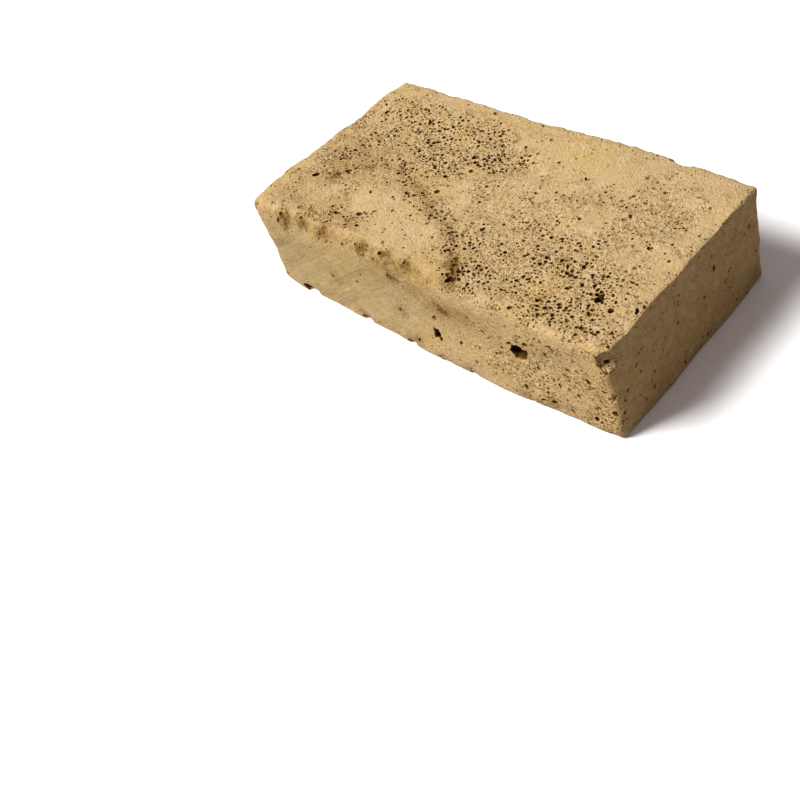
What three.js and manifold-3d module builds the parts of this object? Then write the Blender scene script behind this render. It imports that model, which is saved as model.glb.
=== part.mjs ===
// A natural pumice stone: one block of light, bubbly volcanic rock, sawn to a brick and worn soft at its edges.
// Its look comes from the bubbles that the saw and the hand opened: two crowded patches on the top,
// two large holes in the front, and a scatter of smaller pits all round.
import * as THREE from "three";
import { mergeVertices } from "three/addons/utils/BufferGeometryUtils.js";
import Module from "manifold-3d";

const wasm = await Module();
wasm.setup();

// Driving dimensions, in millimetres. X runs along the stone, Y from front to back, Z up from the sawn base.
const LENGTH = 100.8;
const DEPTH = 53.2;
const HEIGHT = 25;
const STONE_COLOUR = 0xc6aa78;
const SEED = 20;

// The sawn block is a little out of square. Each corner is moved from its place on a true box, by x and y.
const CORNER_SHIFT = {
  top: { backLeft: [1.3, 0], frontLeft: [-3, -0.6], frontRight: [0.2, -0.3], backRight: [0.2, 0] },
  base: { backLeft: [2.0, -0.5], frontLeft: [-0.2, 0.4], frontRight: [1.2, 0.7], backRight: [0.6, -0.2] },
};

// How softly each edge is worn: the radius of its rounding.
const TOP_EDGE = { frontLeft: 4.2, frontRight: 1.7, back: 0.9, left: 1.5, right: 0.5 };
const UPRIGHT_EDGE = { frontLeft: 4.4, backLeft: 1.6, frontRight: 1.4, backRight: 1.5 };
const BASE_EDGE = 0.5;
const SMALLEST_RADIUS = 0.3;

// Broad swellings and hollows of each face: the middle, at the face's own place, the reach each way, and the height.
const SWELLINGS = {
  top: [
    { name: "sunken pitted patch at the back", at: [-14, 9], reach: [17, 9], height: -0.45 },
    { name: "sunken pitted patch at the front", at: [31, -14], reach: [17, 9], height: -0.45 },
    { name: "smooth raised crust", at: [-22, -24], reach: [35, 19], turn: -20, crisp: 8, height: 0.5 },
    { name: "dusty strip by the back edge", at: [8, 23], reach: [34, 4], height: 0.25 },
    { name: "hollow in the front edge", at: [10.5, -25], reach: [4.5, 2.2], height: -0.7 },
  ],
  front: [
    { name: "foot of the face standing out", at: [13, 0], reach: [34, 9], height: 2 },
    { name: "worn left shoulder", at: [-30, 22], reach: [15, 5], height: -0.4 },
  ],
  back: [
    { name: "bulge under the back edge", at: [20, 24], reach: [15, 9], height: 1 },
    { name: "bulge at the right of the back edge", at: [41, 25], reach: [6, 9], height: 0.4 },
  ],
  left: [
    { name: "lean of the left end", at: [-11, 20], reach: [15, 12], height: 1 },
    { name: "left end standing out at the back", at: [16, 24], reach: [7, 10], height: 0.8 },
    { name: "foot of the left end", at: [-24, 4], reach: [10, 7], height: 1.6 },
  ],
  right: [{ name: "dished sawn end", at: [0, 12], reach: [16, 7], height: -0.3 }],
  base: [],
};

// Slow waviness left by the saw: its height, and how far apart the waves are along and across a face.
const WAVE_HEIGHT = 0.13;
const WAVE_ALONG = 23;
const WAVE_ACROSS = 15;

// How fast a face's swellings die away under it: the power of the share of the way from the middle to the face.
const FADE = 5;

// Steps of the surface net, measured from each edge, then even steps of about this size between them.
const NET_FROM_EDGE = [0, 0.9, 3];
const NET_STEP = 4.6;

// The faces of the block: which way each looks, and its own two directions, written (u, v).
const FACES = {
  top: { normal: [0, 0, 1], size: [LENGTH, DEPTH], point: (u, v) => [u, v, HEIGHT] },
  base: { normal: [0, 0, -1], size: [LENGTH, DEPTH], point: (u, v) => [u, v, 0] },
  front: { normal: [0, -1, 0], size: [LENGTH, HEIGHT], point: (u, v) => [u, -DEPTH / 2, v] },
  back: { normal: [0, 1, 0], size: [LENGTH, HEIGHT], point: (u, v) => [u, DEPTH / 2, v] },
  left: { normal: [-1, 0, 0], size: [DEPTH, HEIGHT], point: (u, v) => [-LENGTH / 2, u, v] },
  right: { normal: [1, 0, 0], size: [DEPTH, HEIGHT], point: (u, v) => [LENGTH / 2, u, v] },
};

// The holes that a person would know this stone by: face, place on it, radius, stretch, turn in degrees, depth over radius.
const KNOWN_HOLES = [
  { name: "largest hole of the front", face: "front", at: [26.9, 13.8], radius: 2.1, stretch: 1.15, turn: -35, depth: 1.4 },
  { name: "second hole of the front", face: "front", at: [3.4, 8.4], radius: 1.45, stretch: 1.25, turn: 80, depth: 1.4 },
  { name: "shallow hole over it", face: "front", at: [3.9, 12.8], radius: 0.9, stretch: 1.2, turn: 60, depth: 0.6 },
  { name: "pit beside the second hole", face: "front", at: [10.6, 8.9], radius: 0.7, stretch: 1.6, turn: 75, depth: 1 },
  { name: "pit left of the largest hole", face: "front", at: [22.8, 13], radius: 0.6, stretch: 1.2, turn: 0, depth: 1 },
  { name: "pit above the largest hole", face: "front", at: [30.3, 16.8], radius: 0.7, stretch: 1.3, turn: 20, depth: 1 },
  { name: "notch at the left foot", face: "front", at: [-40.4, 1.4], radius: 1.7, stretch: 1.2, turn: 0, depth: 0.8 },
  { name: "notch in the foot", face: "front", at: [-21.7, 0.4], radius: 1.3, stretch: 1.3, turn: 0, depth: 0.8 },
  { name: "wide notch in the foot", face: "front", at: [-6.5, 0.6], radius: 1.7, stretch: 1.4, turn: 0, depth: 0.7 },
  { name: "small notch in the foot", face: "front", at: [4.2, 0.2], radius: 1.2, stretch: 1.5, turn: 0, depth: 0.8 },
  { name: "pit in the left shoulder", face: "front", at: [-40.8, 22.2], radius: 1.2, stretch: 1.6, turn: 75, depth: 0.8 },
  { name: "dent in the front edge", face: "front", at: [-15.1, 23.6], radius: 1.1, stretch: 1.2, turn: 60, depth: 0.8 },
  { name: "second dent in the front edge", face: "front", at: [-8.3, 23.4], radius: 1.2, stretch: 1.3, turn: 30, depth: 0.8 },
  { name: "largest hole of the top", face: "top", at: [40.6, -14.3], radius: 1.3, stretch: 1.15, turn: 70, depth: 1.3 },
  { name: "round hole beside it", face: "top", at: [44.4, -16.1], radius: 0.8, stretch: 1.1, turn: 0, depth: 1.2 },
  { name: "slot in the right edge", face: "top", at: [49.1, -14.1], radius: 0.75, stretch: 1.8, turn: -65, depth: 1.4 },
  { name: "pit by the front right", face: "top", at: [30.3, -20], radius: 0.8, stretch: 1.5, turn: 80, depth: 1.2 },
  { name: "pit of the front patch", face: "top", at: [31.6, -11.5], radius: 0.75, stretch: 1.2, turn: 80, depth: 1.2 },
  { name: "pit at the front corner", face: "top", at: [41.4, -18.7], radius: 0.7, stretch: 1.2, turn: 10, depth: 1.2 },
  { name: "oval hole in the smooth crust", face: "top", at: [-21.6, -17.4], radius: 1.1, stretch: 1.4, turn: 15, depth: 1.1 },
  { name: "slot beside the oval hole", face: "top", at: [-18.8, -15.3], radius: 0.6, stretch: 2.2, turn: 35, depth: 0.9 },
  { name: "hollow at the left", face: "top", at: [-41.5, -11.8], radius: 1.1, stretch: 1.2, turn: 40, depth: 0.7 },
  { name: "slot at the left", face: "top", at: [-38.6, -9.8], radius: 0.6, stretch: 2.2, turn: 35, depth: 0.9 },
  { name: "pit in the middle left", face: "top", at: [-11.4, -3.5], radius: 0.95, stretch: 1.1, turn: 0, depth: 1.1 },
  { name: "pit on the crust's rim", face: "top", at: [-16.5, -7.2], radius: 0.95, stretch: 1.1, turn: 30, depth: 0.8 },
  { name: "pit in the middle", face: "top", at: [6.6, -9], radius: 0.75, stretch: 1.1, turn: 0, depth: 1.1 },
  { name: "double pit of the back patch", face: "top", at: [-12.1, 10], radius: 0.85, stretch: 1.6, turn: -70, depth: 1.2 },
  { name: "round pit of the back patch", face: "top", at: [-9.4, 5.9], radius: 0.8, stretch: 1.1, turn: 0, depth: 1.2 },
  { name: "pit at the back left", face: "top", at: [-44.2, 14.5], radius: 0.95, stretch: 1.2, turn: 50, depth: 1 },
  { name: "second pit at the back left", face: "top", at: [-31.1, 15.8], radius: 0.75, stretch: 1.3, turn: 85, depth: 1 },
  { name: "pit on the back edge", face: "top", at: [-18.4, 24.6], radius: 0.8, stretch: 1.3, turn: -40, depth: 1 },
  { name: "slanting pit at the back", face: "top", at: [16.6, 13.8], radius: 0.7, stretch: 1.9, turn: -55, depth: 1 },
  { name: "pit at the back right", face: "top", at: [34.6, 16.8], radius: 0.7, stretch: 1.2, turn: 0, depth: 0.9 },
  { name: "pit right of the middle", face: "top", at: [32.5, 7.7], radius: 0.75, stretch: 1.5, turn: -50, depth: 1 },
  { name: "pit near the right edge", face: "top", at: [41.2, 1.3], radius: 0.75, stretch: 1.1, turn: 0, depth: 1 },
  { name: "hollow at the end of the crust", face: "top", at: [10.2, -22.6], radius: 1.3, stretch: 2.1, turn: 35, depth: 0.7 },
  { name: "chip out of the front corner", face: "right", at: [-27.2, 22], radius: 2.7, stretch: 1.25, turn: 90, depth: 0.6 },
  { name: "lower chip out of the front corner", face: "right", at: [-27.4, 12], radius: 1, stretch: 1.6, turn: 80, depth: 0.5 },
  { name: "pit high in the right end", face: "right", at: [9.3, 17], radius: 0.8, stretch: 1.5, turn: 80, depth: 1 },
  { name: "pit low in the right end", face: "right", at: [12.4, 10.4], radius: 0.7, stretch: 1.4, turn: 60, depth: 1 },
  { name: "slot in the right end", face: "right", at: [22.3, 17.2], radius: 0.6, stretch: 2.2, turn: 85, depth: 0.9 },
  { name: "slanting slot in the right end", face: "right", at: [-18.8, 14.9], radius: 0.6, stretch: 2, turn: 50, depth: 0.9 },
  { name: "chip in the back edge", face: "back", at: [32, 25], radius: 2, stretch: 2.6, turn: 0, depth: 0.4 },
];

// Where the bubbles crowd on the top, and how strongly, over an even scatter. The other faces have the scatter alone.
const CROWDED = [
  { name: "back patch", at: [-14, 10], reach: [13, 7.5], strength: 1 },
  { name: "back left band", at: [-40, 9], reach: [9, 7], strength: 0.5 },
  { name: "rim of the smooth crust", at: [-9, -9], reach: [22, 3], turn: -33, strength: 0.6 },
  { name: "front patch", at: [30, -16], reach: [16, 8], strength: 1 },
  { name: "start of the front patch", at: [14, -18], reach: [9, 5], strength: 0.6 },
  { name: "small pits by the front left", at: [-32, -20], reach: [8, 3.5], strength: 0.5 },
  { name: "middle", at: [14, 0], reach: [14, 8], strength: 0.35 },
];
const TOP_SCATTER = 0.12;

// How many smaller pits each face has here, and how wide they are. The finest bubbles are left to the finish.
const SMALL_PITS = { top: 78, front: 24, right: 12, back: 18, left: 10, base: 10 };
const SMALL_RADIUS = [0.5, 0.8];
const PIT_GAP = 0.35;

// A pit is a bowl of flat facets: how many sides, and how far its middle sits under the surface, over its radius.
const SMALL_SIDES = 5;
const LARGE_SIDES = 7;
const LARGE_FROM = 0.85;
const BOWL_RINGS = 3;
const SINK = 0.22;
const ROUGHNESS = 0.12;
const EDGE_MARGIN = 1.5;

// A repeatable stream of random numbers from 0 to 1.
function randomStream(seed) {
  let state = seed >>> 0;
  return () => {
    state = (state + 0x6d2b79f5) >>> 0;
    let t = Math.imul(state ^ (state >>> 15), 1 | state);
    t = (t + Math.imul(t ^ (t >>> 7), 61 | t)) ^ t;
    return ((t ^ (t >>> 14)) >>> 0) / 2 ** 32;
  };
}

const random = randomStream(SEED);
const between = (low, high) => low + (high - low) * random();
const mix = (a, b, share) => a + (b - a) * share;
const smooth = (share) => {
  const t = THREE.MathUtils.clamp(share, 0, 1);
  return t * t * (3 - 2 * t);
};

// A hill of height 1 over the place (u, v), turned by some degrees. A crisp one has a flat top and a steep rim.
function hill(u, v, { at, reach, turn = 0, crisp = 1 }) {
  const angle = THREE.MathUtils.degToRad(turn);
  const along = ((u - at[0]) * Math.cos(angle) + (v - at[1]) * Math.sin(angle)) / reach[0];
  const across = ((v - at[1]) * Math.cos(angle) - (u - at[0]) * Math.sin(angle)) / reach[1];
  return Math.exp(-((along ** 2 + across ** 2) ** crisp));
}

// A slow wave over a face, different on each.
function wave(face, u, v) {
  const phase = Object.keys(FACES).indexOf(face);
  const across = (2 * Math.PI * v) / WAVE_ACROSS + phase;
  return WAVE_HEIGHT * (Math.sin((2 * Math.PI * u) / WAVE_ALONG + 2 * Math.sin(across)) + Math.sin(across + 2 * phase));
}

// How far the surface stands out of a face's plane at its place (u, v).
function relief(face, u, v) {
  return SWELLINGS[face].reduce((sum, s) => sum + s.height * hill(u, v, s), wave(face, u, v));
}

// The radius of the rounding near a point: each edge's own, blended by how near the point is to it.
function wear(p) {
  const right = smooth(p.x / LENGTH + 0.5);
  const back = smooth(p.y / DEPTH + 0.5);
  const high = smooth(p.z / HEIGHT);
  const upright = mix(
    mix(UPRIGHT_EDGE.frontLeft, UPRIGHT_EDGE.frontRight, right),
    mix(UPRIGHT_EDGE.backLeft, UPRIGHT_EDGE.backRight, right),
    back,
  );
  const toEnd = LENGTH / 2 - Math.abs(p.x);
  const toSide = DEPTH / 2 - Math.abs(p.y);
  const alongEnd = mix(TOP_EDGE.left, TOP_EDGE.right, right);
  const alongSide = mix(mix(TOP_EDGE.frontLeft, TOP_EDGE.frontRight, right), TOP_EDGE.back, back);
  const level = mix(BASE_EDGE, toEnd < toSide ? alongEnd : alongSide, high);
  const nearUpright = smooth(1 - Math.max(toEnd, toSide) / (2 * UPRIGHT_EDGE.frontLeft));
  const middle = Math.min(p.z, HEIGHT - p.z) / HEIGHT;
  return Math.max(SMALLEST_RADIUS, mix(level, upright, nearUpright * mix(0.6, 1, smooth(4 * middle))));
}

// The corner shift at a point, blended between the eight corners.
function outOfSquare(p) {
  const right = p.x / LENGTH + 0.5;
  const back = p.y / DEPTH + 0.5;
  const high = p.z / HEIGHT;
  const level = (c, axis) =>
    mix(mix(c.frontLeft[axis], c.frontRight[axis], right), mix(c.backLeft[axis], c.backRight[axis], right), back);
  return [0, 1].map((axis) => mix(level(CORNER_SHIFT.base, axis), level(CORNER_SHIFT.top, axis), high));
}

// Carries a point of the true box to the surface of the worn stone. The sawn base stays flat.
function worn(point) {
  const half = new THREE.Vector3(LENGTH, DEPTH, HEIGHT).divideScalar(2);
  const middle = new THREE.Vector3(0, 0, half.z);
  const radius = wear(point);
  const inner = half.clone().subScalar(radius);
  const p = point.clone().sub(middle).clamp(inner.clone().negate(), inner);
  const outward = point.clone().sub(middle).sub(p).normalize();
  p.addScaledVector(outward, radius).add(middle);
  const toward = (share) => Math.max(0, share) ** FADE;
  const moved = p.clone();
  moved.x += toward(p.x / half.x) * relief("right", p.y, p.z) - toward(-p.x / half.x) * relief("left", p.y, p.z);
  moved.y += toward(p.y / half.y) * relief("back", p.x, p.z) - toward(-p.y / half.y) * relief("front", p.x, p.z);
  moved.z += toward(p.z / HEIGHT) * relief("top", p.x, p.y);
  const [dx, dy] = outOfSquare(p);
  return moved.add(new THREE.Vector3(dx, dy, 0));
}

// The steps of the net along one side of the block: fine by its two edges, and even between them.
function netSteps(size) {
  const from = NET_FROM_EDGE.map((d) => d - size / 2);
  const inside = size - 2 * NET_FROM_EDGE.at(-1);
  const count = Math.max(1, Math.round(inside / NET_STEP));
  const even = Array.from({ length: count - 1 }, (_, i) => from.at(-1) + (inside * (i + 1)) / count);
  return [...from, ...even, ...from.map((d) => -d).reverse()];
}

// The stone before its bubbles are opened: a box's net, fine near the edges, carried to the worn surface.
function stoneBody() {
  const steps = [netSteps(LENGTH), netSteps(DEPTH), netSteps(HEIGHT)];
  const cells = steps.map((s) => s.length - 1);
  const box = new THREE.BoxGeometry(...cells, ...cells);
  const position = box.getAttribute("position");
  const p = new THREE.Vector3();
  for (let i = 0; i < position.count; i++) {
    const cell = [0, 1, 2].map((axis) => Math.round(position.getComponent(i, axis) + cells[axis] / 2));
    p.set(steps[0][cell[0]], steps[1][cell[1]], steps[2][cell[2]] + HEIGHT / 2);
    position.setXYZ(i, ...worn(p));
  }
  return solidOf(box);
}

// A closed geometry as a solid that can be cut.
function solidOf(geometry) {
  const bare = geometry.clone();
  bare.deleteAttribute("normal");
  bare.deleteAttribute("uv");
  const merged = mergeVertices(bare, 1e-4);
  return new wasm.Manifold(
    new wasm.Mesh({
      numProp: 3,
      vertProperties: merged.getAttribute("position").array,
      triVerts: new Uint32Array(merged.index.array),
    }),
  );
}

// The worn surface at a face's place (u, v): the point, and three directions of which the last looks out of the stone.
function surfaceAt(face, u, v) {
  const step = 0.2;
  const at = (du, dv) => worn(new THREE.Vector3(...FACES[face].point(u + du, v + dv)));
  const along = at(step, 0).sub(at(-step, 0)).normalize();
  const across = at(0, step).sub(at(0, -step)).normalize();
  const out = along.clone().cross(across).normalize();
  if (out.dot(new THREE.Vector3(...FACES[face].normal)) < 0) out.negate();
  return { point: at(0, 0), along, across: out.clone().cross(along), out };
}

// One opened bubble: a rough bowl of flat facets, stretched along the surface, with its middle just under it.
function bubble({ face, at, radius, stretch, turn, depth }) {
  const { point, along, across, out } = surfaceAt(face, ...at);
  const sides = radius >= LARGE_FROM ? LARGE_SIDES : SMALL_SIDES;
  const bowl = mergeVertices(bareSphere(sides), 1e-4);
  const position = bowl.getAttribute("position");
  const p = new THREE.Vector3();
  for (let i = 0; i < position.count; i++) {
    p.fromBufferAttribute(position, i).multiplyScalar(1 + between(-ROUGHNESS, ROUGHNESS));
    position.setXYZ(i, p.x, p.y, p.z);
  }
  const grow = Math.sqrt(stretch);
  bowl.scale(radius * grow, radius / grow, radius * depth);
  bowl.rotateZ(THREE.MathUtils.degToRad(turn));
  bowl.applyMatrix4(new THREE.Matrix4().makeBasis(along, across, out));
  const middle = point.clone().addScaledVector(out, -SINK * radius * depth);
  bowl.translate(middle.x, middle.y, middle.z);
  return solidOf(bowl);
}

// A sphere of few facets with its poles on Z and only its positions left.
function bareSphere(sides) {
  const ball = new THREE.SphereGeometry(1, sides, BOWL_RINGS);
  ball.deleteAttribute("normal");
  ball.deleteAttribute("uv");
  return ball.rotateX(Math.PI / 2);
}

// The crowding of the bubbles at a face's place, from 0 to 1.
function crowding(face, u, v) {
  if (face !== "top") return 1;
  return Math.min(1, TOP_SCATTER + CROWDED.reduce((sum, c) => sum + c.strength * hill(u, v, c), 0));
}

// The small pits of one face: thrown at random, kept where bubbles crowd, and clear of those already there.
function smallPits(face, count, taken) {
  const size = FACES[face].size;
  const upright = size[1] === HEIGHT;
  const found = [];
  while (found.length < count) {
    const u = between(EDGE_MARGIN - size[0] / 2, size[0] / 2 - EDGE_MARGIN);
    const v = between(EDGE_MARGIN, size[1] - EDGE_MARGIN) - (upright ? 0 : size[1] / 2);
    const radius = between(...SMALL_RADIUS);
    const pit = { face, at: [u, v], radius, stretch: between(1, 1.6), turn: between(0, 180), depth: between(0.8, 1.3) };
    const clear = [...taken, ...found].every(
      (other) =>
        other.face !== face ||
        Math.hypot(other.at[0] - u, other.at[1] - v) > radius + other.radius * Math.sqrt(other.stretch) + PIT_GAP,
    );
    if (clear && random() < crowding(face, u, v)) found.push(pit);
  }
  return found;
}

// The stone with its bubbles opened, as one geometry.
function stoneGeometry() {
  const pits = [...KNOWN_HOLES];
  for (const [face, count] of Object.entries(SMALL_PITS)) pits.push(...smallPits(face, count, pits));
  const stone = pits.reduce((solid, pit) => solid.subtract(bubble(pit)), stoneBody());
  const { vertProperties, triVerts } = stone.getMesh();
  const geometry = new THREE.BufferGeometry();
  geometry.setAttribute("position", new THREE.BufferAttribute(vertProperties, 3));
  geometry.setIndex(new THREE.BufferAttribute(triVerts, 1));
  geometry.computeBoundingBox();
  const middle = geometry.boundingBox.getCenter(new THREE.Vector3());
  return geometry.translate(-middle.x, -middle.y, 0);
}

const part = new THREE.Group();
const stone = new THREE.Mesh(
  stoneGeometry(),
  new THREE.MeshStandardMaterial({ color: STONE_COLOUR, roughness: 0.95, metalness: 0, flatShading: true }),
);
stone.name = "pumice_stone";
part.add(stone);

export default part;
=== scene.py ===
# %% [markdown]
# # A pumice stone
# Pumice is volcanic glass that froze while gas was still bubbling out of it. This stone was sawn to a
# brick, and hands and water have worn its edges. Wherever the saw went through a bubble, the bubble is now
# an open pit. The lesson follows the same order: first the sawn and worn block, then the bubbles that it
# opens, then the sandy colour, the fine grain and the shade painted into its hollows. The imported CAD
# model gives the stone's place and size.

# %% Open the imported model
import math

import bmesh
import bpy
import numpy as np
from mathutils import Matrix, Vector, noise
from mathutils.kdtree import KDTree


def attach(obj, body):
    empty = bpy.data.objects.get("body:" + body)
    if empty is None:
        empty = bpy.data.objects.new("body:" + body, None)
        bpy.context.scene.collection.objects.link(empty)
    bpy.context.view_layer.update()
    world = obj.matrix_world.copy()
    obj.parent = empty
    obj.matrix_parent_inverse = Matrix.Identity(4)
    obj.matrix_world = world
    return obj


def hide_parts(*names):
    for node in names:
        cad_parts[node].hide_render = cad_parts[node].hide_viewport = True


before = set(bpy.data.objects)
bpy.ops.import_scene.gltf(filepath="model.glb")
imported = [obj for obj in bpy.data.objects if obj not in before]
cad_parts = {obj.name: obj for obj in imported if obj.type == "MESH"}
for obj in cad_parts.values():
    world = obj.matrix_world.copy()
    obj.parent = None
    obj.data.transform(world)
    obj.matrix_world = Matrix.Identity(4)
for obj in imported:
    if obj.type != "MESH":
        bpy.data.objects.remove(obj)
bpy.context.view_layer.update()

MM = 0.001

# %% [markdown]
# ## The camera
# The camera is made first, so that every later choice can be judged through it. Its place was found by
# fitting a pinhole camera to the seven corners of the stone that show. It looks down at the long lit side
# and the dark end, and it is tipped a little on its own axis, as a hand-held camera is.

# %% Camera
CAMERA_PLACE = Vector((158.45, -139.84, 189.4)) * MM
CAMERA_TURN = math.radians(57.66)
CAMERA_TILT = math.radians(44.12)
CAMERA_ROLL = math.radians(-21.19)
LENS = 53.86
NEAREST_SEEN = 10

camera = bpy.data.objects.new("camera", bpy.data.cameras.new("camera"))
bpy.context.scene.collection.objects.link(camera)
bpy.context.scene.camera = camera
camera.data.lens = LENS
camera.data.clip_start = NEAREST_SEEN * MM
turn = Matrix.Rotation(CAMERA_TURN, 4, "Z") @ Matrix.Rotation(CAMERA_TILT, 4, "X")
camera.matrix_world = Matrix.Translation(CAMERA_PLACE) @ turn @ Matrix.Rotation(CAMERA_ROLL, 4, "Z")
print("camera stands", round(CAMERA_PLACE.length / MM), "mm from the middle of the stone's base")

# %% [markdown]
# ## The sawn block
# The real block left the saw a little out of square, and its faces are not quite flat. A box primitive
# would be too perfect, and sculpting can't be repeated. So the block is written as a rule that carries any
# point of a true box to the surface of the worn stone. The same rule places the bubbles later. All its
# lengths are in millimetres, and they are the CAD model's own.

# %% Sizes of the block
LENGTH = 100.8
DEPTH = 53.2
HEIGHT = 25
HALF = np.array([LENGTH, DEPTH, HEIGHT]) / 2
MIDDLE = np.array([0, 0, HEIGHT / 2])
# The middle of the worn stone's own box, which the CAD model puts over the origin.
BOX_CENTRE = np.array([-0.979, -0.231, 0])

# How far each corner of the sawn block is from its place on the true box, in x and y.
CORNER_SHIFT = {
    "top": {
        "back_left": (1.3, 0), "front_left": (-3, -0.6),
        "front_right": (0.2, -0.3), "back_right": (0.2, 0),
    },
    "base": {
        "back_left": (2, -0.5), "front_left": (-0.2, 0.4),
        "front_right": (1.2, 0.7), "back_right": (0.6, -0.2),
    },
}
# The radius of each worn edge.
TOP_EDGE = {"front_left": 4.2, "front_right": 1.7, "back": 0.9, "left": 1.5, "right": 0.5}
UPRIGHT_EDGE = {"front_left": 4.4, "back_left": 1.6, "front_right": 1.4, "back_right": 1.5}
BASE_EDGE = 0.5
SMALLEST_RADIUS = 0.3
print("true box in mm:", LENGTH, "by", DEPTH, "by", HEIGHT)

# %% How worn each edge is
# An upright edge is less round at its two ends, up to this share of the height.
ROUND_AT_ENDS = 0.6
END_SHARE = 0.25


def mix(a, b, share):
    return a + (b - a) * share


def smooth(share):
    t = np.clip(share, 0, 1)
    return t * t * (3 - 2 * t)


def wear(p):
    """The radius of the rounding near each point: each edge's own, blended by how near the point is to it."""
    x, y, z = p.T
    right = smooth(x / LENGTH + 0.5)
    back = smooth(y / DEPTH + 0.5)
    high = smooth(z / HEIGHT)
    upright = mix(
        mix(UPRIGHT_EDGE["front_left"], UPRIGHT_EDGE["front_right"], right),
        mix(UPRIGHT_EDGE["back_left"], UPRIGHT_EDGE["back_right"], right),
        back,
    )
    to_end = LENGTH / 2 - abs(x)
    to_side = DEPTH / 2 - abs(y)
    along_end = mix(TOP_EDGE["left"], TOP_EDGE["right"], right)
    along_front = mix(TOP_EDGE["front_left"], TOP_EDGE["front_right"], right)
    along_side = mix(along_front, TOP_EDGE["back"], back)
    level = mix(BASE_EDGE, np.where(to_end < to_side, along_end, along_side), high)
    near_upright = smooth(1 - np.maximum(to_end, to_side) / (2 * UPRIGHT_EDGE["front_left"]))
    from_ends = np.minimum(z, HEIGHT - z) / HEIGHT
    upright_share = near_upright * mix(ROUND_AT_ENDS, 1, smooth(from_ends / END_SHARE))
    return np.maximum(SMALLEST_RADIUS, mix(level, upright, upright_share))


front_edge = np.array([[x, -DEPTH / 2, HEIGHT] for x in (-LENGTH / 4, LENGTH / 4)])
print("rounding of the front edge, left and right, in mm:", wear(front_edge).round(1).tolist())


# %% Swellings and hollows of each face
def patch(name, at, reach, amount, turn=0, crisp=1):
    """A patch of a face: its middle, its two reaches, its height or strength, its turn in degrees, and how
    crisp it is. A soft one is a round hill, and a crisp one has a flat top and a steep rim."""
    return {"name": name, "at": at, "reach": reach, "amount": amount, "turn": turn, "crisp": crisp}


def hill(u, v, at, reach, turn=0, crisp=1):
    """1 in the middle of a patch, falling to 0 away from it."""
    cos, sin = math.cos(math.radians(turn)), math.sin(math.radians(turn))
    along = ((u - at[0]) * cos + (v - at[1]) * sin) / reach[0]
    across = ((v - at[1]) * cos - (u - at[0]) * sin) / reach[1]
    return np.exp(-((along**2 + across**2) ** crisp))


def hills(patches, u, v):
    """All the patches of a face together, each with its own height or strength."""
    return sum(p["amount"] * hill(u, v, p["at"], p["reach"], p["turn"], p["crisp"]) for p in patches)


SWELLINGS = {
    "top": [
        patch("sunken pitted patch at the back", (-14, 9), (17, 9), -0.45),
        patch("sunken pitted patch at the front", (31, -14), (17, 9), -0.45),
        patch("smooth raised crust", (-22, -24), (35, 19), 0.5, turn=-20, crisp=8),
        patch("dusty strip by the back edge", (8, 23), (34, 4), 0.25),
        patch("hollow in the front edge", (10.5, -25), (4.5, 2.2), -0.7),
    ],
    "base": [],
    "front": [
        patch("foot of the face standing out", (13, 0), (34, 9), 2),
        patch("worn left shoulder", (-30, 22), (15, 5), -0.4),
    ],
    "back": [
        patch("bulge under the back edge", (20, 24), (15, 9), 1),
        patch("bulge at the right of the back edge", (41, 25), (6, 9), 0.4),
    ],
    "left": [
        patch("lean of the left end", (-11, 20), (15, 12), 1),
        patch("left end standing out at the back", (16, 24), (7, 10), 0.8),
        patch("foot of the left end", (-24, 4), (10, 7), 1.6),
    ],
    "right": [patch("dished sawn end", (0, 12), (16, 7), -0.3)],
}
# The saw left slow waves in every face. Each face's relief fades towards the faces beside it.
WAVE_HEIGHT = 0.13
WAVE_ALONG = 23
WAVE_ACROSS = 15
FADE = 5


def relief(face, u, v):
    """How far the surface stands out of a face's plane. The face's number shifts its waves."""
    phase = list(SWELLINGS).index(face)
    across = 2 * np.pi * v / WAVE_ACROSS + phase
    along = 2 * np.pi * u / WAVE_ALONG + 2 * np.sin(across)
    height = WAVE_HEIGHT * (np.sin(along) + np.sin(across + 2 * phase))
    return height + hills(SWELLINGS[face], u, v)


for face, patches in SWELLINGS.items():
    print(face + ":", "; ".join(p["name"] for p in patches) or "nothing stands out")


# %% From the true box to the worn stone
def out_of_square(p):
    """How far the block's leaning corners move each point, in x and y."""
    right, back, high = (p[:, 0] / LENGTH + 0.5, p[:, 1] / DEPTH + 0.5, p[:, 2] / HEIGHT)

    def level(corners, axis):
        front_side = mix(corners["front_left"][axis], corners["front_right"][axis], right)
        back_side = mix(corners["back_left"][axis], corners["back_right"][axis], right)
        return mix(front_side, back_side, back)

    base, top = CORNER_SHIFT["base"], CORNER_SHIFT["top"]
    return np.stack([mix(level(base, axis), level(top, axis), high) for axis in (0, 1)])


def worn(points):
    """The surface points of the worn stone, and the direction out of it, for points of the true box."""
    inner = HALF - wear(points)[:, None]
    core = np.clip(points - MIDDLE, -inner, inner)
    outward = points - MIDDLE - core
    outward /= np.linalg.norm(outward, axis=1)[:, None]
    p = core + outward * wear(points)[:, None] + MIDDLE
    x, y, z = p.T
    right, back = x / HALF[0], y / HALF[1]
    moved = p.copy()
    moved[:, 0] += np.clip(right, 0, None) ** FADE * relief("right", y, z)
    moved[:, 0] -= np.clip(-right, 0, None) ** FADE * relief("left", y, z)
    moved[:, 1] += np.clip(back, 0, None) ** FADE * relief("back", x, z)
    moved[:, 1] -= np.clip(-back, 0, None) ** FADE * relief("front", x, z)
    moved[:, 2] += (z / HEIGHT) ** FADE * relief("top", x, y)
    moved[:, :2] += out_of_square(p).T
    return moved - BOX_CENTRE, outward


true_corner = np.array([[LENGTH / 2, -DEPTH / 2, HEIGHT]])
print("the near top corner comes to, in mm:", worn(true_corner)[0].round(1)[0].tolist())

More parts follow.
